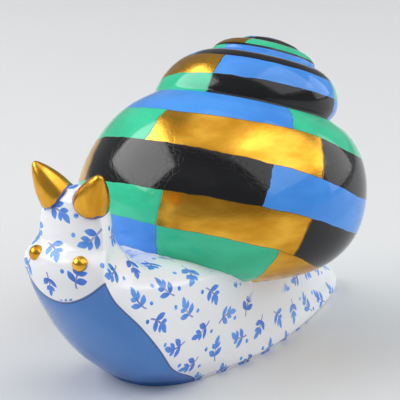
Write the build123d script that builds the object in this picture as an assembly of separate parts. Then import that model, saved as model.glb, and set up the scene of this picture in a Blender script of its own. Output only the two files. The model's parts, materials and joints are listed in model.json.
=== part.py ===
from build123d import *
import os
from math import cos, exp, log, radians, sin, sqrt

# A glazed porcelain snail: a slip-cast foot with neck and head, a turban shell luted on its saddle,
# two horn-shaped tentacles and two raised eye dots. Millimetres, +Z up, the head faces -Y, the
# snail's left is +X, and the origin lies on the sole.
os.makedirs("parts", exist_ok=True)

# Foot, neck and head
body_length = 64.5  # face to tail tip
nose_reach = 32.0  # face ahead of the origin
foot_width = 20.2
crown_height = 30.2
body_wall = 3.0
tail_wall = 6.0  # the cast is thicker where the foot runs out to the tail
sole_vent_diameter = 4.0
saddle_vent_diameter = 5.0

# Shell: one tube coiled around a leaning axis, sizes of its largest whorl
whorl_core_radius = 10.7  # axis to the middle of the tube
whorl_swell = 10.6  # middle of the tube to its outermost line
whorl_rise = 15.6  # middle of the tube to its top
whorl_drop = 12.6  # middle of the tube to its underside
spire_height = 27.3  # middle of the largest whorl to the apex
shell_lean = 28.3  # degrees, back toward the tail
shell_wall = 2.5
seat_depth = 9.5  # middle of the largest whorl to the end of the wall inside the saddle

# Tentacles, eye dots and the slip that lutes the pieces together
tentacle_diameter = 4.9  # where it leaves the head
tentacle_length = 6.5  # centre of the root to the tip
eye_diameter = 2.1
slip_thickness = 0.4
overrun = 4.0  # length by which cuts run past what they cut

# Places on the body, as shares of body_length from the face, half the foot width, and crown_height
crown_place_share = 0.083
saddle_place_share = 0.57
saddle_height_share = 0.54
saddle_vent_place_share = 0.50
sole_vent_place_share = 0.62
tentacle_root_shares = (0.216, 0.076, 0.908)
tentacle_aim_shares = (0.529, 0.049, 1.087)
# Half outline of a tentacle, as shares of its radius and its length
tentacle_outline_shares = (
    (0.60, 0.0),
    (0.86, 0.09),
    (0.98, 0.185),
    (0.91, 0.355),
    (0.78, 0.526),
    (0.59, 0.698),
    (0.35, 0.868),
    (0.0, 1.0),
)
eye_shares = (0.347, 0.0202, 0.712)

# Level slices through the body, from the sole to just under the crown: height, front of the chest or
# face, then half width and place of the chest's edge, of the widest line and of the rear quarter,
# and the back. Widths are shares of half the foot width and places are shares of body_length.
body_slice_shares = (
    (0.00, 0.228, 0.61, 0.285, 0.92, 0.512, 0.71, 0.775, 0.983),
    (0.04, 0.205, 0.68, 0.267, 1.00, 0.512, 0.78, 0.775, 1.000),
    (0.13, 0.160, 0.81, 0.219, 0.98, 0.496, 0.73, 0.745, 0.953),
    (0.26, 0.109, 0.85, 0.169, 0.98, 0.465, 0.75, 0.682, 0.845),
    (0.40, 0.057, 0.80, 0.117, 1.01, 0.419, 0.79, 0.589, 0.729),
    (0.50, 0.022, 0.71, 0.077, 0.98, 0.364, 0.74, 0.481, 0.589),
    (0.54, 0.012, 0.675, 0.062, 0.85, 0.250, 0.66, 0.400, 0.473),
    (0.60, 0.005, 0.645, 0.047, 0.66, 0.118, 0.56, 0.182, 0.220),
    (0.64, 0.001, 0.645, 0.038, 0.59, 0.102, 0.47, 0.165, 0.195),
    (0.669, 0.000, 0.645, 0.037, 0.55, 0.090, 0.42, 0.154, 0.183),
    (0.708, 0.004, 0.615, 0.040, 0.52, 0.076, 0.37, 0.141, 0.169),
    (0.77, 0.030, 0.52, 0.059, 0.50, 0.078, 0.33, 0.127, 0.158),
    (0.811, 0.036, 0.51, 0.061, 0.49, 0.080, 0.33, 0.124, 0.151),
    (0.885, 0.040, 0.47, 0.062, 0.46, 0.083, 0.31, 0.120, 0.143),
    (0.945, 0.046, 0.36, 0.062, 0.37, 0.084, 0.26, 0.110, 0.128),
    (0.985, 0.062, 0.15, 0.070, 0.18, 0.083, 0.13, 0.097, 0.105),
)
body_slice_count = 30
outline_steps = 7  # points between the tabled corners of a slice
end_fullness = 1.6  # how broadly a slice closes at its front and back
cavity_slice_count = 16
cavity_roof_share = 0.645  # of crown_height
diagonal_share = 0.7  # how far a slice's corner points move each way when the slice grows

# The coil: how each full turn shrinks, and where growth levels off and the lip tucks in. Angles are in
# degrees about the shell's axis, from the front and counterclockwise seen from the apex.
turn_radius_share = 0.583
turn_height_share = 0.342
growth_start = 42.5
growth_ease = 50.0
lip_start = -260.0
lip_end = -60.0
lip_tuck_share = 0.42
far_lift_share = 0.28  # the far side's underside is this much shallower
far_lift_start = 20.0
far_lift_end = -60.0
upper_rise_share = 0.16  # the upper whorls are this much fuller on top
upper_rise_start = 140.0
upper_rise_end = 360.0
seat_radius_share = 0.88  # of half the foot width
seat_top_share = 0.4  # of spire_height
cavity_top_share = 0.84  # of spire_height
whorl_count = 8
seam_power = 26  # rounds the groove between whorls
slice_count = 40
slice_points = 45
slice_crowding = 1.5  # slices crowd toward the apex


def along(share):
    """Place along the body, measured from the face toward the tail."""
    return body_length * share - nose_reach


def on_body(shares, side):
    """Point from shares of half the foot width, the body's length and the crown's height."""
    across, place, height = shares
    return Vector(side * across * foot_width / 2, along(place), height * crown_height)


def ease(value):
    """Smooth step from 0 to 1."""
    held = min(max(value, 0), 1)
    return held * held * (3 - 2 * held)


def curve(knots, values, place, start_slope, end_slope):
    """Smooth curve through tabled values that never overshoots them."""
    steps = range(len(knots) - 1)
    chords = [(values[step + 1] - values[step]) / (knots[step + 1] - knots[step]) for step in steps]
    slopes = [start_slope]
    for before, after in zip(chords, chords[1:]):
        slopes.append(2 * before * after / (before + after) if before * after > 0 else 0)
    slopes.append(end_slope)
    index = max(step for step in steps if knots[step] <= place)
    span = knots[index + 1] - knots[index]
    part = (place - knots[index]) / span
    bend = slopes[index] * part * (1 - part) ** 2 - slopes[index + 1] * part**2 * (1 - part)
    return values[index] + (values[index + 1] - values[index]) * ease(part) + span * bend


def body_outline(height, grow, tail_grow):
    """One level slice through the body, grown outward all round."""
    columns = list(zip(*body_slice_shares))
    shares = [curve(columns[0], column, height / crown_height, 0, 0) for column in columns[1:]]
    front, edge, edge_place, wide, wide_place, rear, rear_place, back = shares
    half_width = foot_width / 2
    corner = grow * diagonal_share
    tail_corner = tail_grow * diagonal_share
    widths = (0, edge * half_width + corner, wide * half_width + grow, rear * half_width + corner, 0)
    places = (
        along(front) - grow,
        along(edge_place) - corner,
        along(wide_place),
        along(rear_place) + tail_corner,
        along(back) + tail_grow,
    )
    knots = range(len(widths))
    stops = [step / outline_steps for step in range(outline_steps * (len(widths) - 1) + 1)]
    flank = []
    for stop in stops:
        x = curve(knots, widths, stop, end_fullness * widths[1], -end_fullness * widths[-2])
        flank.append((x, curve(knots, places, stop, 0, 0)))
    left = [(x, y, height) for x, y in flank]
    right = [(-x, y, height) for x, y in flank[-2:0:-1]]
    return closed_curve(left + right)


def closed_curve(points):
    """Closed wire through evenly spread points."""
    count = len(points)
    parameters = [step / count for step in range(count + 1)]
    return Wire([Edge.make_spline(points, periodic=True, parameters=parameters)])


def body_solid(grow):
    """The body's outer form, grown by a layer."""
    top = body_slice_shares[-1][0] * crown_height
    heights = [top * step / body_slice_count for step in range(body_slice_count + 1)]
    crown = Vertex(0, along(crown_place_share), crown_height + grow)
    return Solid.make_loft([*[body_outline(height, grow, grow) for height in heights], crown], True)


def body_cavity():
    """The hollow that the cast leaves inside the body."""
    roof = cavity_roof_share * crown_height
    outlines = []
    for step in range(cavity_slice_count + 1):
        height = body_wall + (roof - body_wall) * step / cavity_slice_count
        tail = ease((saddle_height_share * crown_height - height) / (saddle_height_share * crown_height))
        outlines.append(body_outline(height, -body_wall, -body_wall - (tail_wall - body_wall) * tail))
    return Solid.make_loft(outlines, True)


def vent(diameter, place, bottom, top):
    """Upright vent hole on the centre line."""
    hole = Solid.make_cylinder(diameter / 2, top - bottom)
    return hole.moved(Location((0, place, bottom)))


def whorl_radius(turn, height):
    """Outer radius of the coiled tube at one turn angle and height on the shell's axis."""
    steps = growth_ease / 360 * log(1 + exp((turn - growth_start) / growth_ease))
    radius_scale = turn_radius_share**steps
    height_scale = turn_height_share**steps
    middle = spire_height * (1 - height_scale)
    far_lift = 1 - far_lift_share * ease((far_lift_start - turn) / (far_lift_start - far_lift_end))
    fuller = 1 + upper_rise_share * ease((turn - upper_rise_start) / (upper_rise_end - upper_rise_start))
    reach = whorl_rise * fuller if height > middle else whorl_drop * far_lift
    ratio = (height - middle) / (height_scale * reach)
    if abs(ratio) >= 1 or turn < lip_start:
        return 0
    grown = ease((turn - lip_start) / (lip_end - lip_start))
    tuck = lip_tuck_share + (1 - lip_tuck_share) * grown
    return tuck * radius_scale * (whorl_core_radius + whorl_swell * sqrt(1 - ratio * ratio))


def shell_outline(height, inset):
    """Slice across the shell's axis: the outermost of the whorls and the seat, gently blended."""
    points = []
    for step in range(slice_points):
        bearing = 360 * step / slice_points - 180
        radii = [whorl_radius(bearing + 360 * turn, height) for turn in range(-1, whorl_count)]
        if height < spire_height * seat_top_share:
            radii.append(seat_radius_share * foot_width / 2)
        largest = max(radii)
        blend = sum((radius / largest) ** seam_power for radius in radii) ** (1 / seam_power)
        radius = largest * blend - inset
        angle = radians(bearing)
        points.append((radius * sin(angle), -radius * cos(angle), height))
    return closed_curve(points)


def shell_heights(top):
    """Heights of the slices, from the seat up to a top, crowded toward the apex."""
    span = spire_height + seat_depth
    heights = []
    for step in range(slice_count):
        heights.append(spire_height - span * (1 - step / slice_count) ** slice_crowding)
    return [height for height in heights if height < top]


shell_frame = Plane(
    origin=(0, along(saddle_place_share), saddle_height_share * crown_height),
    x_dir=(1, 0, 0),
    z_dir=(0, sin(radians(shell_lean)), cos(radians(shell_lean))),
)


def shell_wall_solid():
    """The shell's hollow wall, still whole where it meets the body."""
    outlines = [shell_outline(height, 0) for height in shell_heights(spire_height)]
    outer = Solid.make_loft([*outlines, Vertex(0, 0, spire_height)], True)
    hollow_heights = shell_heights(spire_height * cavity_top_share)
    hollow = Solid.make_loft([shell_outline(height, shell_wall) for height in hollow_heights], True)
    return (outer - hollow).moved(shell_frame.location)


def tentacle_horn(side):
    """A horn with a round tip, narrower where it is rooted inside the head."""
    root = on_body(tentacle_root_shares, side)
    axis = on_body(tentacle_aim_shares, side) - root
    radius = tentacle_diameter / 2
    corners = [(radius * out, tentacle_length * up) for out, up in tentacle_outline_shares]
    side_line = Spline(*corners, tangents=((1, 1), (-1, 0)))
    outline = side_line + Line(corners[-1], (0, 0)) + Line((0, 0), corners[0])
    horn = revolve(Plane.XZ * make_face(outline), Axis.Z)
    return horn.moved(Plane(origin=root, z_dir=axis).location)


def save(shape, name):
    """Write one piece."""
    solids = shape.solids()
    export_step(solids[0] if len(solids) == 1 else Compound(solids), "parts/" + name + ".step")
    print(name, len(solids), "solid", round(sum(solid.volume for solid in solids), 2), "mm3")


body_form = body_solid(0)
luted_form = body_solid(slip_thickness)

# Foot, neck and head: a hollow cast, vented through the sole and up into the shell
saddle_height = saddle_height_share * crown_height
sole_vent = vent(sole_vent_diameter, along(sole_vent_place_share), -overrun, body_wall + overrun)
saddle_vent_place = along(saddle_vent_place_share)
saddle_vent = vent(saddle_vent_diameter, saddle_vent_place, saddle_height / 2, saddle_height + overrun)
save(body_form - body_cavity() - sole_vent - saddle_vent, "foot_body")

# Shell on the saddle, and the band of slip under its wall
shell_wall_form = shell_wall_solid()
save(shell_wall_form - luted_form, "shell")
save((shell_wall_form & luted_form) - body_form, "shell_joint_slip")

# Tentacles on their pads of slip, and the eye dots
for side, name in ((1, "left"), (-1, "right")):
    horn = tentacle_horn(side)
    save(horn - luted_form, name + "_tentacle")
    save((horn & luted_form) - body_form, name + "_tentacle_slip")
    eye = Solid.make_sphere(eye_diameter / 2).moved(Location(on_body(eye_shares, side)))
    save(eye - body_form, name + "_eye")
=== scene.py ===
# %% [markdown]
# # A glazed porcelain snail, from bare cast to painted glaze
# The figurine is a hollow cast with a turban shell luted on its back, two gilded tentacles and two
# gilded eye dots. The solids are loaded first as a fixed frame, and every piece made below sits in
# the place of one of them. Lengths are worked out in millimetres and scaled to metres at the end.

# %% Load the frame
import json
from math import asin, atan2, cos, degrees, exp, log, pi, radians, sin, sqrt

import bmesh
import bpy
from mathutils import Matrix, Vector

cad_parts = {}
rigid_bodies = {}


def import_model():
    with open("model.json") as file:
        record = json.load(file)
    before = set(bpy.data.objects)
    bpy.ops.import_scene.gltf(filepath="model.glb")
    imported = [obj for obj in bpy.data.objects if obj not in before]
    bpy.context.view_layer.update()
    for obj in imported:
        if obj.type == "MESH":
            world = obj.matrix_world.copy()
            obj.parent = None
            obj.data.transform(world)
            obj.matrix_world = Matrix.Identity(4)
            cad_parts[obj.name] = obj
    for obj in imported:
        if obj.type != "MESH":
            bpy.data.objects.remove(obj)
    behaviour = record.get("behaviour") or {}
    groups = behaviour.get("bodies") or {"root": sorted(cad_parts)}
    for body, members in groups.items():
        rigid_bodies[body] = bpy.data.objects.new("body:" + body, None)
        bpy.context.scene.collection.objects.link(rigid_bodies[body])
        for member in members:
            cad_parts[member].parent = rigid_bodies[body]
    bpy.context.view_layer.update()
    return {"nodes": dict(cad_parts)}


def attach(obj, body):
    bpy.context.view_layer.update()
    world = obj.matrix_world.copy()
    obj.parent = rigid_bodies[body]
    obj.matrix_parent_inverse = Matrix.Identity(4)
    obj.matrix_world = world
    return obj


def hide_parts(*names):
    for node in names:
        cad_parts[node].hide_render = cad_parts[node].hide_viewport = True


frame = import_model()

MM = 0.001
print("solids:", sorted(frame["nodes"]))

# %% [markdown]
# ## Where the viewer stands
# A long lens from the snail's left front keeps the small ornament free of perspective. The camera
# is placed by azimuth, elevation and distance, because those are what one reads off a photograph,
# and it is aimed with a track quaternion instead of typed Euler angles.

# %% Camera
aim_point = Vector((0, -0.55, 21.3)) * MM
view_azimuth = radians(36)
view_elevation = radians(18)
view_distance = 260 * MM
focal_length = 170.1
near_clip = 0.02


def from_angles(azimuth, elevation):
    """Unit vector toward a viewer or lamp; azimuth 0 is in front of the face, +X is 90 degrees."""
    level = cos(elevation)
    return Vector((sin(azimuth) * level, -cos(azimuth) * level, sin(elevation)))


def aimed(name, data, azimuth, elevation, distance):
    """Link a camera or lamp that looks at the snail from a direction."""
    holder = bpy.data.objects.new(name, data)
    toward = from_angles(azimuth, elevation)
    holder.location = aim_point + toward * distance
    holder.rotation_euler = toward.to_track_quat("Z", "Y").to_euler()
    bpy.context.scene.collection.objects.link(holder)
    return holder


lens = bpy.data.cameras.new("portrait_lens")
lens.lens = focal_length
lens.clip_start = near_clip
bpy.context.scene.camera = aimed("camera", lens, view_azimuth, view_elevation, view_distance)
print("camera at", tuple(round(c, 4) for c in bpy.context.scene.camera.location))

# %% [markdown]
# ## Soft light on a pale floor
# Glaze shows itself by what it mirrors. A soft box on the left makes the broad pale patch on the
# dark blocks, a large one on the right lights the flank, a low one behind models the far edge, one
# overhead lights the floor, and a weak even world fills the rest. The standard view transform
# keeps each colour as it was mixed.

# %% Lamps and world
# Name, azimuth and elevation in degrees, distance, width and height in metres, power in watts.
lamp_plan = (
    ("window_box", -56, 36, 0.5, 0.50, 0.30, 1.9),
    ("flank_box", 108, 48, 0.6, 0.74, 0.58, 2.05),
    ("edge_box", 148, 16, 0.5, 0.34, 0.26, 0.42),
    ("roof_box", 0, 88, 1.2, 1.1, 1.1, 2.6),
)
sky_tint = (0.95, 0.97, 1.0, 1)
sky_strength = 0.3
bpy.context.scene.view_settings.view_transform = "Standard"


def soft_box(name, azimuth, elevation, distance, width, height, power):
    """A rectangular soft box that faces the snail."""
    lamp = bpy.data.lights.new(name, "AREA")
    lamp.shape = "RECTANGLE"
    lamp.size = width
    lamp.size_y = height
    lamp.energy = power
    aimed(name, lamp, radians(azimuth), radians(elevation), distance)


for lamp_row in lamp_plan:
    soft_box(*lamp_row)
world = bpy.data.worlds.new("studio")
bpy.context.scene.world = world
world.use_nodes = True
sky = world.node_tree.nodes["Background"]
sky.inputs["Color"].default_value = sky_tint
sky.inputs["Strength"].default_value = sky_strength

# %% [markdown]
# ## Paint as arithmetic
# A painted surface is a sum of simple rules: here a band, there a leaf. Node trees hide such rules
# in wires, so one small class wraps a socket and lets Python operators add the Math nodes. Every
# other node comes from its node method: type, settings, then sockets.

# %% A value that grows nodes
class Wash:
    """One value on its way through a material's nodes."""

    def __init__(self, tree, socket=None):
        self.tree = tree
        self.socket = socket

    def node(self, kind, settings, sockets, out=0):
        """Add any node: settings first, then socket values or links."""
        made = self.tree.nodes.new("ShaderNode" + kind)
        for name, setting in settings.items():
            if name == "stops":
                ramp = made.color_ramp
                for index, (place, colour) in enumerate(setting):
                    stop = ramp.elements[index] if index < 2 else ramp.elements.new(place)
                    stop.position = place
                    stop.color = (*colour, 1)
            elif name == "steps":
                made.color_ramp.interpolation = setting
            else:
                setattr(made, name, setting)
        for key, value in sockets.items():
            if isinstance(value, Wash):
                self.tree.links.new(value.socket, made.inputs[key])
            else:
                made.inputs[key].default_value = value
        return Wash(self.tree, made.outputs[out])

    def math(self, operation, *values):
        """A Math node on values or plain numbers."""
        return self.node("Math", {"operation": operation}, dict(enumerate(values)))

    def __add__(self, other):
        return self.math("ADD", self, other)

    def __radd__(self, other):
        return self.math("ADD", other, self)

    def __sub__(self, other):
        return self.math("SUBTRACT", self, other)

    def __rsub__(self, other):
        return self.math("SUBTRACT", other, self)

    def __mul__(self, other):
        return self.math("MULTIPLY", self, other)

    def __rmul__(self, other):
        return self.math("MULTIPLY", other, self)

    def __truediv__(self, other):
        return self.math("DIVIDE", self, other)

    def __abs__(self):
        return self.math("ABSOLUTE", self)

    def __lt__(self, other):
        return self.math("LESS_THAN", self, other)

    def __gt__(self, other):
        return self.math("GREATER_THAN", self, other)

    def floor(self):
        return self.math("FLOOR", self)

    def is_near(self, value, reach):
        return self.math("COMPARE", self, value, reach)

    def ramp(self, low, high, start=0.0, end=1.0):
        """Smooth step from start at low to end at high."""
        settings = {"interpolation_type": "SMOOTHSTEP"}
        return self.node("MapRange", settings, {0: self, 1: low, 2: high, 3: start, 4: end})

    def paint(self, under, over):
        """Mix two colours by this value."""
        return self.node("Mix", {"data_type": "RGBA"}, {0: self, 6: under, 7: over}, out=2)


def new_finish(name, **constants):
    """A material with a Principled shader and its constant sockets set."""
    finish = bpy.data.materials.new(name)
    finish.use_nodes = True
    shader = finish.node_tree.nodes["Principled BSDF"]
    for key, value in constants.items():
        shader.inputs[key.replace("_", " ")].default_value = value
    return finish, shader, Wash(finish.node_tree)


def feed(shader, **values):
    """Link finished values to the shader."""
    for key, value in values.items():
        value.tree.links.new(value.socket, shader.inputs[key.replace("_", " ")])


def object_noise(wash, scale, detail=2.0, stretch=(1, 1, 1)):
    """Noise in the object's own space; scale is in features per metre."""
    place = wash.node("TexCoord", {}, {}, out=3)
    placed = wash.node("Mapping", {}, {0: place, 3: stretch})
    return wash.node("TexNoise", {}, {"Vector": placed, "Scale": scale, "Detail": detail})


def split(vector):
    """The three parts of a vector."""
    made = vector.node("SeparateXYZ", {}, {0: vector})
    return [Wash(vector.tree, socket) for socket in made.socket.node.outputs]


# Noise lies mostly between these values, so ramps between them use most of its range.
noise_middle = (0.3, 0.7)
noise_range = (0.2, 0.8)
print("paint box ready")

# %% [markdown]
# ## The floor
# A plain pale table top, a little rough, large enough that its edge never shows.

# %% Floor
floor_reach = 6.0
floor_tint = (0.74, 0.745, 0.75, 1)
floor_mesh = bmesh.new()
bmesh.ops.create_grid(floor_mesh, x_segments=8, y_segments=8, size=floor_reach)
floor_data = bpy.data.meshes.new("floor")
floor_mesh.to_mesh(floor_data)
floor_mesh.free()
floor = bpy.data.objects.new("floor", floor_data)
bpy.context.scene.collection.objects.link(floor)
floor_finish, _, _ = new_finish("pale_table", Base_Color=floor_tint, Roughness=0.55)
floor_data.materials.append(floor_finish)
print("floor:", len(floor_data.polygons), "faces")

# %% [markdown]
# ## The body's slices
# Foot, neck and head are one cast. Its form is known from level slices: how far forward the chest
# or face reaches, how wide the chest's edge, the flank and the rear quarter are, and where the
# back ends. A curve that never overshoots runs through the tabled shares, first up the body and
# then round each slice.

# %% Slice table and curves
body_length = 64.5
nose_reach = 32.0
half_foot = 10.1
crown_height = 30.2
crown_place = 0.083

# Height, front, then width and place of the chest's edge, the flank and the rear quarter, and back.
# Heights are shares of the crown's, widths of half the foot and places of the body's length.
slice_shares = (
    (0.00, 0.228, 0.61, 0.285, 0.92, 0.512, 0.71, 0.775, 0.983),
    (0.04, 0.205, 0.68, 0.267, 1.00, 0.512, 0.78, 0.775, 0.998),
    (0.13, 0.160, 0.81, 0.219, 0.98, 0.496, 0.73, 0.745, 0.953),
    (0.26, 0.109, 0.85, 0.169, 0.98, 0.465, 0.75, 0.682, 0.845),
    (0.40, 0.057, 0.80, 0.117, 1.01, 0.419, 0.79, 0.589, 0.729),
    (0.50, 0.022, 0.71, 0.077, 0.98, 0.364, 0.74, 0.481, 0.589),
    (0.54, 0.012, 0.675, 0.062, 0.85, 0.250, 0.66, 0.400, 0.473),
    (0.60, 0.005, 0.645, 0.047, 0.66, 0.118, 0.56, 0.182, 0.220),
    (0.64, 0.001, 0.645, 0.038, 0.59, 0.102, 0.47, 0.165, 0.195),
    (0.669, 0.0004, 0.645, 0.037, 0.55, 0.090, 0.42, 0.154, 0.183),
    (0.708, 0.004, 0.615, 0.040, 0.52, 0.076, 0.37, 0.141, 0.169),
    (0.77, 0.030, 0.52, 0.059, 0.50, 0.078, 0.33, 0.127, 0.158),
    (0.811, 0.036, 0.51, 0.061, 0.49, 0.080, 0.33, 0.124, 0.151),
    (0.885, 0.040, 0.47, 0.062, 0.46, 0.083, 0.31, 0.120, 0.143),
    (0.945, 0.046, 0.36, 0.062, 0.37, 0.084, 0.26, 0.110, 0.128),
    (0.985, 0.062, 0.15, 0.070, 0.18, 0.083, 0.13, 0.097, 0.105),
)
end_fullness = 1.6


def along(share):
    """Place along the body, from the face toward the tail."""
    return body_length * share - nose_reach


def ease(value):
    """Smooth step from 0 to 1."""
    held = min(max(value, 0), 1)
    return held * held * (3 - 2 * held)


def curve(knots, values, place, start_slope, end_slope):
    """Smooth curve through tabled values that never overshoots them."""
    steps = range(len(knots) - 1)
    chords = [(values[i + 1] - values[i]) / (knots[i + 1] - knots[i]) for i in steps]
    slopes = [start_slope]
    for before, after in zip(chords, chords[1:]):
        slopes.append(2 * before * after / (before + after) if before * after > 0 else 0)
    slopes.append(end_slope)
    index = max(i for i in steps if knots[i] <= place)
    span = knots[index + 1] - knots[index]
    part = (place - knots[index]) / span
    bend = slopes[index] * part * (1 - part) ** 2 - slopes[index + 1] * part**2 * (1 - part)
    return values[index] + (values[index + 1] - values[index]) * ease(part) + span * bend


slice_columns = list(zip(*slice_shares))


def slice_line(height, stops):
    """Half of one level slice, from the front line round to the back line."""
    heights = slice_columns[0]
    shares = [curve(heights, column, height / crown_height, 0, 0) for column in slice_columns[1:]]
    front, edge, edge_place, wide, wide_place, rear, rear_place, back = shares
    widths = [share * half_foot for share in (0, edge, wide, rear, 0)]
    places = [along(share) for share in (front, edge_place, wide_place, rear_place, back)]
    line = []
    for stop in stops:
        x = curve(range(5), widths, stop, end_fullness * widths[1], -end_fullness * widths[3])
        line.append(Vector((x, curve(range(5), places, stop, 0, 0), height)))
    return line


print("slices:", len(slice_shares), "up to", crown_height, "mm")

# %% [markdown]
# ## The coil
# The shell is one tube wound round a leaning axis. Each full turn shrinks its radius and, faster,
# its height. At any bearing and height the outermost turn makes the surface, and a high power mean
# of all turns rounds the groove between them.

# %% Coil measures
core_radius = 10.7
swell = 10.6
rise = 15.6
drop = 12.6
spire = 27.3
lean = radians(28.3)
seat_radius = 8.888
seat_depth = 9.5
seat_top = 0.4 * spire
lip_start = -260.0
lip_end = -60.0
lip_tuck = 0.42
saddle_place = 0.57
saddle_share = 0.54
shell_origin = Vector((0, along(saddle_place), saddle_share * crown_height))
seam_power = 26
whorl_count = 8

# What one full turn leaves of the radius and the height, and where along the coil that sets in.
radius_shrink = 0.583
height_shrink = 0.342
shrink_start = 42.5
shrink_fade = 50.0

# The shoulder above the tube's middle grows on the second whorl; the belly below it is flatter
# before the first.
shoulder_gain, shoulder_start, shoulder_fade = 0.16, 140.0, 220.0
belly_loss, belly_end, belly_fade = 0.28, 20.0, 80.0


def coil_state(turn):
    """Radius scale, height scale and middle height of the tube at a turn angle in degrees."""
    steps = shrink_fade / 360 * log(1 + exp((turn - shrink_start) / shrink_fade))
    height_scale = height_shrink**steps
    tuck = lip_tuck + (1 - lip_tuck) * ease((turn - lip_start) / (lip_end - lip_start))
    return tuck * radius_shrink**steps, height_scale, spire * (1 - height_scale)


def tube_reach(turn, rising):
    """Half height of the tube, above or below its middle."""
    if rising:
        return rise * (1 + shoulder_gain * ease((turn - shoulder_start) / shoulder_fade))
    return drop * (1 - belly_loss * ease((belly_end - turn) / belly_fade))


def tube_radius(turn, height):
    """Outer radius of the tube at a turn angle and a height on the axis."""
    radius_scale, height_scale, middle = coil_state(turn)
    ratio = (height - middle) / (height_scale * tube_reach(turn, height > middle))
    if abs(ratio) >= 1 or turn < lip_start:
        return 0
    return radius_scale * (core_radius + swell * sqrt(1 - ratio * ratio))


def shell_radius(bearing, height):
    """Radius of the finished surface at a bearing and height."""
    start = (bearing + 180) % 360 - 180
    radii = [tube_radius(start + 360 * turn, height) for turn in range(-1, whorl_count)]
    if height < seat_top:
        radii.append(seat_radius)
    largest = max(radii)
    if largest <= 0:
        return 0
    return largest * sum((radius / largest) ** seam_power for radius in radii) ** (1 / seam_power)


def from_shell(bearing, radius, height):
    """A point in the shell's own measures, set on the saddle."""
    angle = radians(bearing)
    x, y = radius * sin(angle), -radius * cos(angle)
    leaned = Vector((x, y * cos(lean) + height * sin(lean), height * cos(lean) - y * sin(lean)))
    return shell_origin + leaned


def to_shell(point):
    """Bearing, radius and height of a point in the shell's own measures."""
    offset = point - shell_origin
    y = offset.y * cos(lean) - offset.z * sin(lean)
    height = offset.y * sin(lean) + offset.z * cos(lean)
    return degrees(atan2(offset.x, -y)), sqrt(offset.x**2 + y**2), height


print("largest whorl:", round(shell_radius(0, 0), 2), "mm at the front")

# %% [markdown]
# ## From a flat grid to a piece
# Both large forms start as a bmesh grid whose rows and columns are then laid onto the form, much
# as clay is pressed into a mould. Each corner can get a UV on the way, so that paint may follow
# the rows. Welding closes seams and poles.

# %% Laying a grid
weld_reach = 1e-4


def lay_grid(columns, rows, place, layout=None):
    """A grid laid on a form: place gives the point and layout the UV of a column and row."""
    sheet = bmesh.new()
    bmesh.ops.create_grid(sheet, x_segments=columns, y_segments=rows, size=0.5)
    sheet.verts.ensure_lookup_table()
    paint = sheet.loops.layers.uv.new("lay")
    spots = {}
    for vert in sheet.verts:
        spots[vert] = (round((vert.co.x + 0.5) * columns), round((vert.co.y + 0.5) * rows))
    if layout:
        for loop in (loop for face in sheet.faces for loop in face.loops):
            loop[paint].uv = layout(*spots[loop.vert])
    for vert, spot in spots.items():
        vert.co = place(*spot)
    return sheet


def finish_piece(sheet, name, finish, node):
    """Scale to metres, smooth, and hand the piece to the frame in place of a node."""
    bmesh.ops.recalc_face_normals(sheet, faces=sheet.faces)
    bmesh.ops.scale(sheet, vec=(MM, MM, MM), verts=sheet.verts)
    for face in sheet.faces:
        face.smooth = True
    data = bpy.data.meshes.new(name)
    sheet.to_mesh(data)
    odd_edges = sum(1 for edge in sheet.edges if len(edge.link_faces) != 2)
    sheet.free()
    data.materials.append(finish)
    piece = bpy.data.objects.new(name, data)
    bpy.context.scene.collection.objects.link(piece)
    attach(piece, "root")
    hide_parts(node)
    print(name, len(data.polygons), "faces,", odd_edges, "edges without just two faces")


print("grid tools ready, weld reach", weld_reach, "mm")

# %% [markdown]
# ## Painting the body
# The chest is plain blue up to a crisp edge, and the rest is white with scattered leaf sprigs in
# two blues and small dots. The surface is cut into staggered cells, each turns and shifts its
# sprig by chance, and a sprig is a bent stem with leaves on both sides. All of it is drawn from
# UVs in millimetres, so lines keep the width of a fine brush.

# %% Sprig cells
sprig_pitch = 4.9
sprig_rise = 4.5
sprig_squeeze = 1.08
hand_wobble = 0.5
drift_across = 0.4
drift_up = 0.3
stem_half = 0.1
stem_fade = 0.06
stem_bend = 0.12
stem_shift = 0.15
stem_start, stem_end = -1.9, 1.0

body_finish, body_shader, brush = new_finish("painted_porcelain", IOR=1.5)
lay = brush.node("UVMap", {"uv_map": "lay"}, {})
run_u, run_v, _ = split(lay)
run_u = run_u + (object_noise(brush, 300.0) - 0.5) * hand_wobble
run_v = run_v + (object_noise(brush, 340.0) - 0.5) * hand_wobble
cell_row = (run_v / sprig_rise).floor()
shifted = run_u + cell_row * (sprig_pitch / 2)
cell_column = (shifted / sprig_pitch).floor()
cell = brush.node("CombineXYZ", {}, {0: cell_column, 1: cell_row})
chance = brush.node("TexWhiteNoise", {"noise_dimensions": "2D"}, {"Vector": cell}, out=1)
turn_chance, drift_u, drift_v = split(chance)
cell_u = shifted - (cell_column + 0.5) * sprig_pitch + (drift_u - 0.5) * drift_across
cell_v = run_v - (cell_row + 0.5) * sprig_rise + (drift_v - 0.5) * drift_up
sprig_turn = turn_chance * (2 * pi)
turn_cos = brush.math("COSINE", sprig_turn)
turn_sin = brush.math("SINE", sprig_turn)
stem_run = (cell_u * turn_cos + cell_v * turn_sin) * sprig_squeeze
stem_side = cell_v * turn_cos - cell_u * turn_sin - stem_run * stem_run * stem_bend + stem_shift
print("sprig cells:", len(brush.tree.nodes), "nodes")

# %% Leaves and dots
low_length = 0.86
leaf_soft = 0.03
chance_share, run_share, grain_share = 0.45, 0.3, 0.25
leaf_blues = ((0.1, (0.16, 0.4, 0.88)), (0.5, (0.07, 0.24, 0.78)), (0.9, (0.025, 0.11, 0.55)))
dot_radius, dot_soft, dot_odds = 0.3, 0.03, 0.5
dot_layer = 3.0


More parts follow.
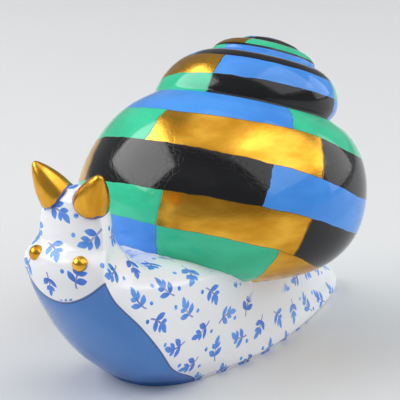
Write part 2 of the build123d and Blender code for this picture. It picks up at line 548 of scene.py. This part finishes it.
def leaf(place, out, turn, length, width):
    """Depth inside a pair of leaves on the stem, and the run along a leaf from its middle."""
    a, b = stem_run - place, abs(stem_side) - out
    far = a * cos(turn) + b * sin(turn)
    wide = abs(b * cos(turn) - a * sin(turn))
    return (1 - far * far * (1 / length**2)) * width - wide, far


low_pair, low_run = leaf(place=-0.45, out=0.68, turn=radians(50), length=low_length, width=0.44)
high_pair, _ = leaf(place=0.6, out=0.5, turn=radians(42), length=0.62, width=0.34)
tip_leaf, _ = leaf(place=1.35, out=0.0, turn=0.0, length=0.85, width=0.46)
low_share = low_run * (0.5 / low_length) + 0.5
leaf_depth = brush.math("MAXIMUM", brush.math("MAXIMUM", low_pair, high_pair), tip_leaf)
leaf_mask = leaf_depth.ramp(-leaf_soft, leaf_soft)
leaf_tone = drift_v * chance_share + (1 - low_share) * run_share
leaf_tone = leaf_tone + object_noise(brush, 700.0) * grain_share
leaf_colour = leaf_tone.node("ValToRGB", {"stops": leaf_blues}, {0: leaf_tone})
stem_mask = abs(stem_side).ramp(stem_half, stem_half + stem_fade, 1.0, 0.0)
stem_mask = stem_mask * (stem_run > stem_start) * (stem_run < stem_end)
dot_column = brush.math("ROUND", run_u * (2 / sprig_pitch))
dot_row = brush.math("ROUND", run_v * (1 / sprig_rise))
dot_seed = brush.node("CombineXYZ", {}, {0: dot_column, 1: dot_row, 2: dot_layer})
dot_chance = brush.node("TexWhiteNoise", {}, {"Vector": dot_seed})
dot_u = run_u - dot_column * (sprig_pitch / 2)
dot_v = run_v - dot_row * sprig_rise
dot_reach = brush.math("SQRT", dot_u * dot_u + dot_v * dot_v)
dot_mask = dot_reach.ramp(dot_radius - dot_soft, dot_radius + dot_soft, 1.0, 0.0)
dot_mask = dot_mask * (dot_chance < dot_odds)
print("sprigs:", len(brush.tree.nodes), "nodes")

# %% White, chest and glaze of the body
white_cool, white_warm = (0.84, 0.86, 0.9, 1), (0.9, 0.9, 0.91, 1)
stem_blue = (0.1, 0.14, 0.46, 1)
chest_deep, chest_bright = (0.04, 0.165, 0.5, 1), (0.06, 0.215, 0.58, 1)
edge_blue = (0.02, 0.06, 0.26, 1)
edge_weight = 0.85

# Millimetres inside the chest's edge over which each mask fades.
sprig_margin = (-0.25, -0.2)
chest_edge = (-0.02, 0.02)
edge_line = (0.1, 0.18)
chest = brush.node("Attribute", {"attribute_name": "chest"}, {}, out=2)
shelter = brush.node("Attribute", {"attribute_name": "shelter"}, {}, out=2)
plain = brush.math("MAXIMUM", shelter, chest.ramp(*sprig_margin))
white = object_noise(brush, 90.0).paint(white_cool, white_warm)
stem_tone = object_noise(brush, 500.0).ramp(*noise_middle, 0.6, 1.0)
white = (stem_mask * stem_tone * (1 - plain)).paint(white, stem_blue)
blue_mask = brush.math("MAXIMUM", leaf_mask, dot_mask)
white = (blue_mask * (1 - plain)).paint(white, leaf_colour)
chest_tone = object_noise(brush, 120.0, stretch=(1, 1, 0.4))
chest_blue = chest_tone.ramp(*noise_middle).paint(chest_deep, chest_bright)
painted = chest.ramp(*chest_edge).paint(white, chest_blue)
chest_line = abs(chest).ramp(*edge_line, 1.0, 0.0)
painted = (chest_line * edge_weight).paint(painted, edge_blue)
body_gloss = object_noise(brush, 700.0).ramp(*noise_range, 0.09, 0.16)
body_skin = brush.node(
    "Bump", {}, {"Strength": 0.05, "Distance": 0.0002, "Height": object_noise(brush, 420.0)}
)
feed(body_shader, Base_Color=painted, Roughness=body_gloss, Normal=body_skin)
print("body paint:", len(brush.tree.nodes), "nodes")

# %% [markdown]
# ## Foot, neck and head
# Half the body is laid on a grid, from the front line to the back line and from the sole to the
# crown, and mirrored, so that both halves meet exactly. Two values are kept on its points: how far
# each lies inside the chest's painted edge, and how near to the shell it is.

# %% Body form
body_columns = 96
body_rows = 110
row_crowding = 0.55
stops = [4 * column / body_columns for column in range(body_columns + 1)]
top_share = slice_shares[-1][0]


def row_height(row):
    """Heights of the rows, crowded toward the sole and the crown."""
    share = row / (body_rows - 1)
    return crown_height * top_share * (share - row_crowding * sin(2 * pi * share) / (2 * pi))


body_lines = [slice_line(row_height(row), stops) for row in range(body_rows)]
body_lines.append([Vector((0, along(crown_place), crown_height))] * len(stops))
body = lay_grid(body_columns, body_rows, lambda column, row: body_lines[row][column])
print("half body:", len(body.verts), "points")

# %% Chest edge and shelter
chest_layer = body.verts.layers.float.new("chest")
shelter_layer = body.verts.layers.float.new("shelter")
chin_height = 15.8
chin_rise = 3.4
chin_slope = 0.8
chest_half = 6.5
hem_shift = 0.22
hem_height = 5
shelter_reach = 2.4
shelter_fade = 0.9
edge_column = body_columns // 4
for row, line in enumerate(body_lines):
    run = [0.0]
    for before, after in zip(line, line[1:]):
        run.append(run[-1] + (after - before).length)
    hem = edge_column * hem_shift * ease(1 - line[0].z / hem_height)
    edge_at = edge_column + int(hem)
    edge_run = run[edge_at] + (run[edge_at + 1] - run[edge_at]) * (hem % 1)
    for column in range(body_columns + 1):
        vert = body.verts[row * (body_columns + 1) + column]
        chin = chin_height + chin_rise * (vert.co.x / chest_half) ** 2
        vert[chest_layer] = min(edge_run - run[column], (chin - vert.co.z) * chin_slope)
        bearing, radius, height = to_shell(vert.co)
        beside = -seat_depth < height < spire
        gap = radius - shell_radius(bearing, height) if beside else shelter_reach
        vert[shelter_layer] = ease((shelter_reach - gap) / shelter_fade)
bmesh.ops.remove_doubles(body, verts=body.verts, dist=weld_reach)
half = body.verts[:] + body.edges[:] + body.faces[:]
bmesh.ops.mirror(body, geom=half, axis="X", merge_dist=weld_reach)
bmesh.ops.remove_doubles(body, verts=body.verts, dist=weld_reach)
print("whole body:", len(body.verts), "points")

# %% [markdown]
# ## Flattening the skin
# Sprigs keep their shape only on a skin that is laid flat without stretch. Blender's unwrap does
# that once it is told where to cut: down the back line and up the chest, where no sprig grows.
# The flat copy is then scaled until its area is the skin's own, so a UV unit is a millimetre.

# %% Unwrap
seam_reach = 1e-3
for edge in body.edges:
    middle = (edge.verts[0].co + edge.verts[1].co) / 2
    on_face = middle.y < along(crown_place) and middle.z > chin_height
    off_centre = abs(edge.verts[0].co.x) + abs(edge.verts[1].co.x)
    edge.seam = off_centre < seam_reach and not on_face
draft = bpy.data.meshes.new("body_draft")
body.to_mesh(draft)
skin = bpy.data.objects.new("body_draft", draft)
bpy.context.scene.collection.objects.link(skin)
bpy.context.view_layer.objects.active = skin
skin.select_set(True)
bpy.ops.object.mode_set(mode="EDIT")
bpy.ops.mesh.select_all(action="SELECT")
bpy.ops.uv.unwrap(method="MINIMUM_STRETCH", margin=0)
bpy.ops.object.mode_set(mode="OBJECT")
body.clear()
body.from_mesh(draft)
bpy.data.objects.remove(skin)
bpy.data.meshes.remove(draft)
lay_layer = body.loops.layers.uv["lay"]
skin_area = sum(face.calc_area() for face in body.faces)
flat_area = 0.0
for face in body.faces:
    flat = [loop[lay_layer].uv for loop in face.loops]
    fan = [(b - flat[0]).cross(c - flat[0]) for b, c in zip(flat[1:], flat[2:])]
    flat_area += abs(sum(fan)) / 2
flat_scale = sqrt(skin_area / flat_area)
for face in body.faces:
    for loop in face.loops:
        loop[lay_layer].uv *= flat_scale
print("skin:", round(skin_area), "mm2, one flat unit was", round(flat_scale, 1), "mm")

# %% Sole and vent
round_steps = 48
vent_radius = 2.0
vent_depth = 3.0
vent_place = 0.62
vent_spot = Matrix.Translation((0, along(vent_place), 0))
foot_rim = [edge for edge in body.edges if edge.is_boundary]
vent = bmesh.ops.create_circle(body, segments=round_steps, radius=vent_radius, matrix=vent_spot)
vent_rim = list({edge for vert in vent["verts"] for edge in vert.link_edges})
bmesh.ops.bridge_loops(body, edges=foot_rim + vent_rim)
bored = bmesh.ops.extrude_edge_only(body, edges=vent_rim)
bore_verts = [item for item in bored["geom"] if isinstance(item, bmesh.types.BMVert)]
bmesh.ops.translate(body, vec=(0, 0, vent_depth), verts=bore_verts)
bore_rim = [item for item in bored["geom"] if isinstance(item, bmesh.types.BMEdge)]
bore_rim = [edge for edge in bore_rim if edge.is_boundary]
bmesh.ops.edgeloop_fill(body, edges=bore_rim)
finish_piece(body, "porcelain_body", body_finish, "foot_body")

# %% [markdown]
# ## Painting the shell
# The coil is painted in rows that follow the spiral, five on the largest whorl and three above,
# and each row is cut into long and short blocks of blue, green, black and gold. A constant colour
# ramp per row holds the block ends as turn angles. Each block is a code, and masks made from the
# code pick colour, metal and gloss.

# %% Block plan
coil_end = 1660.0
coil_span = coil_end - lip_start
tints = {"blue": 0.125, "green": 0.375, "black": 0.625, "gold": 0.875}
block_plan = (
    "green -260 black -190 gold -120 blue -62 green 53 gold 128 black 196 blue 252 black 330 "
    "green 470 blue 545 gold 640 green 718 black 850 blue 960 black 1075 gold 1180 green 1300 "
    "blue 1400 black 1480",
    "gold -260 blue -215 black -150 green -84 gold -5 black 66 blue 140 green 216 gold 290 "
    "blue 359 green 453 gold 522 black 600 blue 850 green 940 black 1060 gold 1200 blue 1320 "
    "black 1420",
    "blue -260 green -200 blue -128 gold -92 black -41 blue 46 green 128 gold 196 green 268 "
    "black 362 blue 460 black 535 green 610 blue 700 gold 836 green 935 black 1050 blue 1160 "
    "gold 1290 black 1400",
    "green -260 black -205 gold -140 green -60 gold 8 black 65 blue 138 gold 200",
    "gold -260 blue -190 black -128 blue -56 green 7 gold 62 green 132 black 205",
)


def row_stops(plan):
    """Ramp stops of one painted row: where a block starts, and its code."""
    words = plan.split()
    starts = [(float(turn) - lip_start) / coil_span for turn in words[1::2]]
    return [(start, (tints[tint],) * 3) for tint, start in zip(words[::2], starts)]


print("blocks in each row:", [len(row_stops(plan)) for plan in block_plan])

# %% Block codes
turn_wobble = 0.010
band_wobble = 0.09
band_inset = 0.02
block_lead = 2.0
line_half = 0.4 / coil_span
row_line = 0.01
code_reach = 0.1
shell_finish, shell_shader, enamel = new_finish("banded_glaze", IOR=1.45)
coil_lay = enamel.node("UVMap", {"uv_map": "lay"}, {})
turns, bands, _ = split(coil_lay)
turns = turns + (object_noise(enamel, 420.0) - 0.5) * turn_wobble
bands = bands + (object_noise(enamel, 330.0) - 0.5) * band_wobble
bands = enamel.math("MAXIMUM", bands, band_inset)
bands = enamel.math("MINIMUM", bands, len(block_plan) - band_inset)
band_row = bands.floor()
ramp_place = (turns * 360 - lip_start + block_lead) * (1 / coil_span)


def block_code(shift):
    """Code of the block at a point, looked up a little further along the coil."""
    code = None
    for row, plan in enumerate(block_plan):
        stops_here = {"stops": row_stops(plan), "steps": "CONSTANT"}
        looked_up = enamel.node("ValToRGB", stops_here, {0: ramp_place + shift})
        part = looked_up * band_row.is_near(row, code_reach)
        code = part if code is None else code + part
    return code


code = block_code(-line_half)
block_end = abs(block_code(line_half) - code) > code_reach
row_edge = abs(bands - enamel.math("ROUND", bands)) < row_line
outline = enamel.math("MAXIMUM", block_end, row_edge)
gold = code.is_near(tints["gold"], code_reach)
black = code.is_near(tints["black"], code_reach)
print("block codes:", len(enamel.tree.nodes), "nodes")

# %% Shell colours
# Each block colour comes as a lit copy and a shaded copy; the shaded copy is painted shade, the
# enamel's colour as seen in shade.
lit_block_stops = (
    (0.0, (0.075, 0.33, 0.88)),
    (0.25, (0.05, 0.65, 0.36)),
    (0.5, (0.012, 0.012, 0.013)),
    (0.75, (0.92, 0.5, 0.06)),
)
shaded_block_stops = (
    (0.0, (0.055, 0.27, 0.79)),
    (0.25, (0.035, 0.54, 0.29)),
    (0.5, (0.006, 0.006, 0.007)),
    (0.75, (0.62, 0.28, 0.02)),
)
line_brown = (0.05, 0.03, 0.02, 1)
line_weight = 0.25
gold_line_gain = 0.4
bare_white = (0.86, 0.87, 0.9, 1)
paint_foot = -7.5
foot_wobble = 0.6
brushed = object_noise(enamel, 150.0, detail=5.0, stretch=(1, 1, 2.5))
# A stretched noise mixes the lit and shaded copies: partly an uneven brush wash, partly painted
# shade.
wash_and_shade_tone = brushed.ramp(*noise_middle)
lit_block_colour = code.node("ValToRGB", {"stops": lit_block_stops, "steps": "CONSTANT"}, {0: code})
shaded_block_colour = code.node("ValToRGB", {"stops": shaded_block_stops, "steps": "CONSTANT"}, {0: code})
coil_colour = wash_and_shade_tone.paint(lit_block_colour, shaded_block_colour)
line_mask = outline * (line_weight + gold * gold_line_gain)
coil_colour = line_mask.paint(coil_colour, line_brown)

# The painted rows end on a level line round the shell; below it the glaze is white.
object_place = enamel.node("TexCoord", {}, {}, out=3)
_, place_y, place_z = split(object_place)
axis_height = (place_y / MM - shell_origin.y) * sin(lean)
axis_height = axis_height + (place_z / MM - shell_origin.z) * cos(lean)
axis_height = axis_height + (object_noise(enamel, 300.0) - 0.5) * foot_wobble
bare = axis_height < paint_foot
coil_colour = bare.paint(coil_colour, bare_white)
gold = gold * (1 - bare)
black = black * (1 - bare)
print("shell colours:", len(enamel.tree.nodes), "nodes")

# %% Shell glaze
glaze_rough, gold_extra, brush_extra, black_gloss = 0.11, 0.04, 0.14, 0.02
crack_width = 0.06
crackle_height, ripple_height, line_depth = 0.3, 0.6, 0.5
crackle = enamel.node(
    "TexVoronoi", {"feature": "DISTANCE_TO_EDGE"}, {"Vector": object_place, "Scale": 1300.0}
)
crackle = crackle.ramp(0.0, crack_width)
coil_rough = glaze_rough + gold * (gold_extra + brushed * brush_extra) - black * black_gloss
relief = crackle * (black + gold) * crackle_height
relief = relief + object_noise(enamel, 300.0) * ripple_height - outline * line_depth
coil_skin = enamel.node("Bump", {}, {"Strength": 0.12, "Distance": 0.0001, "Height": relief})
feed(shell_shader, Base_Color=coil_colour, Metallic=gold, Roughness=coil_rough, Normal=coil_skin)
print("shell paint:", len(enamel.tree.nodes), "nodes")

# %% [markdown]
# ## The shell
# One long strip is wound up the coil. Its lower edge follows the groove above the turn below and
# its upper edge the groove under the turn above, so neighbouring turns weld together. It starts
# as a point on the seat and ends as a point at the apex.

# %% Strip edges
coil_step = 3.0
coil_columns = round(coil_span / coil_step)
coil_rows = 30
halvings = 40
taper_run = 60
apex_run = 420


def groove_height(turn):
    """Height where the tube meets the next turn above it."""
    _, height_scale, middle = coil_state(turn)
    low, high = (middle if turn > 0 else -seat_depth), middle + height_scale * rise
    for _ in range(halvings):
        height = (low + high) / 2
        here = max(tube_radius(turn, height), seat_radius if height < 0 else 0)
        if here > tube_radius(turn + 360, height):
            low = height
        else:
            high = height
    return (low + high) / 2


def strip_top(turn):
    """Upper edge of the strip, from the seat's foot to the apex."""
    start = ease((turn - lip_start) / taper_run)
    close = ease((turn - coil_end + apex_run) / taper_run)
    top = groove_height(turn) * (1 - close) + spire * close
    return -seat_depth * (1 - start) + top * start


turn_list = [lip_start + coil_step * column for column in range(coil_columns + 1)]
tops = [strip_top(turn) for turn in turn_list]
lap = round(360 / coil_step)
bottoms = [-seat_depth] * lap + tops[: len(tops) - lap]
print("strip:", coil_columns, "columns,", lap, "to a lap")

# %% Painted rows
# Tube angles of the edges between painted rows, at a few turn angles. On the upper whorls the
# lowest two rows run out under the turn below.
edge_turns = (-260.0, 0.0, 55.0, 105.0, 290.0, 460.0, 640.0, 1660.0)
edge_angles = (
    (46.0, 44.0, 49.5, 42.0, 46.0, 45.0, 22.0, 22.0),
    (22.0, 22.0, 21.0, 13.0, 15.0, 15.0, 15.0, 15.0),
    (-4.5, -5.0, -4.0, -12.0, -28.0, -28.0, -28.0, -28.0),
    (-26.0, -28.0, -32.0, -50.0, -52.0, -52.0, -52.0, -52.0),
)
outer_row = 26.0
row_edges = [[curve(edge_turns, row, turn, 0, 0) for row in edge_angles] for turn in turn_list]


def tube_angle(turn, height):
    """Angle round the tube of a height on it, in degrees."""
    _, height_scale, middle = coil_state(turn)
    ratio = (height - middle) / (height_scale * tube_reach(turn, height > middle))
    return degrees(asin(min(max(ratio, -1), 1)))


def strip_height(column, row):
    """Height of a strip point."""
    return bottoms[column] + (tops[column] - bottoms[column]) * row / coil_rows


def strip_layout(column, row):
    """Turns along the coil, and painted rows counted down from the upper groove."""
    turn, edges = turn_list[column], row_edges[column]
    angle = tube_angle(turn, strip_height(column, row))
    if angle > edges[0]:
        return turn / 360, 1 - (angle - edges[0]) / outer_row
    for count, (upper, lower) in enumerate(zip(edges, edges[1:]), 1):
        if angle > lower:
            return turn / 360, count + (upper - angle) / (upper - lower)
    return turn / 360, len(edges) + (edges[-1] - angle) / outer_row


print("row edges at the lip:", [round(angle, 1) for angle in row_edges[0]], "degrees")

# %% Shell form
skin_share = 0.999
apex_slack = 1e-6


def strip_point(column, row):
    """A strip point, a hair inside the solid."""
    turn, height = turn_list[column], strip_height(column, row)
    radius = shell_radius(turn, height) if height < spire - apex_slack else 0
    return from_shell(turn, radius * skin_share, height * skin_share)


shell = lay_grid(coil_columns, coil_rows, strip_point, strip_layout)
bmesh.ops.remove_doubles(shell, verts=shell.verts, dist=weld_reach)
seat_rim = [edge for edge in shell.edges if edge.is_boundary]
bmesh.ops.edgeloop_fill(shell, edges=seat_rim)
finish_piece(shell, "coiled_shell", shell_finish, "shell")

# %% [markdown]
# ## Gilding
# Burnished gold over glaze is bright where rubbing polished it and darker in the brush marks, and
# its darker tone is also painted shade. Metallic is constant here; colour and roughness follow one
# stretched noise, and a finer one makes the bump.

# %% Gold finish
# A shaded and a lit copy of the gold: the shaded one is painted shade, the gold as seen in shade.
gold_shaded, gold_lit = (0.6, 0.27, 0.02, 1), (0.92, 0.5, 0.06, 1)
gold_finish, gold_shader, leafing = new_finish("gilding", Metallic=1.0)
rubbing_and_shade = object_noise(leafing, 300.0, detail=4.0, stretch=(1, 1, 0.35))
# The noise mixes the two golds: partly rubbing marks, partly painted shade.
gold_colour = rubbing_and_shade.ramp(*noise_middle).paint(gold_shaded, gold_lit)
gold_rough = rubbing_and_shade.ramp(0.25, 0.75, 0.34, 0.2)
gold_skin = leafing.node(
    "Bump", {}, {"Strength": 0.12, "Distance": 0.0001, "Height": object_noise(leafing, 900.0)}
)
feed(gold_shader, Base_Color=gold_colour, Roughness=gold_rough, Normal=gold_skin)
print("gilding:", len(leafing.tree.nodes), "nodes")

# %% [markdown]
# ## Tentacles and eye dots
# Each is a turned form: a half outline spun about its axis, then set on the head. The outline
# starts inside the head, so no gap can show at the root.

# %% Turned forms
def on_body(side, across, place, height):
    """Point from shares of half the foot width, the body's length and the crown's height."""
    return Vector((side * across * half_foot, along(place), height * crown_height))


def turned(outline, foot, aim):
    """Spin a half outline about its axis and set it on the body."""
    form = bmesh.new()
    corners = [form.verts.new((radius, 0, height)) for radius, height in outline]
    edges = [form.edges.new(pair) for pair in zip(corners, corners[1:])]
    bmesh.ops.spin(
        form,
        geom=corners + edges,
        axis=(0, 0, 1),
        cent=(0, 0, 0),
        angle=2 * pi,
        steps=round_steps,
        use_merge=True,
    )
    bmesh.ops.remove_doubles(form, verts=form.verts, dist=weld_reach)
    turn = aim.normalized().to_track_quat("Z", "Y").to_matrix().to_4x4()
    bmesh.ops.transform(form, matrix=Matrix.Translation(foot) @ turn, verts=form.verts)
    return form


print("turned forms get", round_steps, "sides")

# %% Horns and dots
# Outline of a horn in shares of its root's radius and its length.
horn_widths = (0.60, 0.86, 0.98, 0.91, 0.78, 0.59, 0.35, 0.0)
horn_heights = (0.0, 0.09, 0.185, 0.355, 0.526, 0.698, 0.868, 1.0)
steps_per_knot = 4
root_flare, tip_slope, root_climb = 0.3, -0.55, 0.08
horn_radius = 2.41
horn_length = 6.49
horn_root = (0.216, 0.076, 0.908)
horn_toward = (0.529, 0.049, 1.087)
eye_radius = 1.05
eye_spot = (0.347, 0.0202, 0.712)
eye_facing = (0.26, -0.76, 0.6)
eye_foot = -30
eye_steps = 14


def horn_outline(root, length):
    """A horn, widest where it leaves the head, with straight sides and a round tip."""
    knots = range(len(horn_widths))
    outline = [(0, 0)]
    for step in range(knots[-1] * steps_per_knot + 1):
        stop = step / steps_per_knot
        width = curve(knots, horn_widths, stop, root_flare, tip_slope)
        outline.append((root * width, length * curve(knots, horn_heights, stop, root_climb, 0)))
    return outline


def dot_outline(radius):
    """A raised dot: most of a ball, with a flat foot inside the face."""
    outline = [(0, radius * sin(radians(eye_foot)))]
    for step in range(eye_steps + 1):
        angle = radians(eye_foot + (90 - eye_foot) * step / eye_steps)
        outline.append((radius * cos(angle), radius * sin(angle)))
    return outline


for side, name in ((1, "left"), (-1, "right")):
    root = on_body(side, *horn_root)
    horn_aim = on_body(side, *horn_toward) - root
    horn = turned(horn_outline(horn_radius, horn_length), root, horn_aim)
    finish_piece(horn, name + "_horn", gold_finish, name + "_tentacle")
    eye_aim = Vector((side * eye_facing[0], *eye_facing[1:]))
    dot = turned(dot_outline(eye_radius), on_body(side, *eye_spot), eye_aim)
    finish_piece(dot, name + "_eye_dot", gold_finish, name + "_eye")

# %% [markdown]
# ## Slip at the joints
# The tentacles stand on thin pads painted with a dark blue ring, and the shell on a thin white
# band. Their solids are already right, so they stay and only get a finish.

# %% Slip finishes
ring_deep, ring_bright = (0.03, 0.05, 0.26, 1), (0.07, 0.11, 0.4, 1)
slip_cool, slip_warm = (0.82, 0.84, 0.88, 1), (0.9, 0.9, 0.91, 1)
slip_gloss = (0.15, 0.3)
ring_finish, ring_shader, ring = new_finish("blue_line", Coat_Weight=0.6, Coat_Roughness=0.05)
ring_colour = object_noise(ring, 800.0).ramp(*noise_middle).paint(ring_deep, ring_bright)
ring_rough = object_noise(ring, 600.0).ramp(*noise_range, *slip_gloss)
feed(ring_shader, Base_Color=ring_colour, Roughness=ring_rough)
slip_finish, slip_shader, slip = new_finish("white_slip", Coat_Weight=0.6, Coat_Roughness=0.06)
slip_colour = object_noise(slip, 200.0).paint(slip_cool, slip_warm)
slip_rough = object_noise(slip, 500.0).ramp(*noise_range, *slip_gloss)
feed(slip_shader, Base_Color=slip_colour, Roughness=slip_rough)
for node, finish in (
    ("left_tentacle_slip", ring_finish),
    ("right_tentacle_slip", ring_finish),
    ("shell_joint_slip", slip_finish),
):
    joint = frame["nodes"][node]
    joint.data.materials.clear()
    joint.data.materials.append(finish)
print("slip painted")
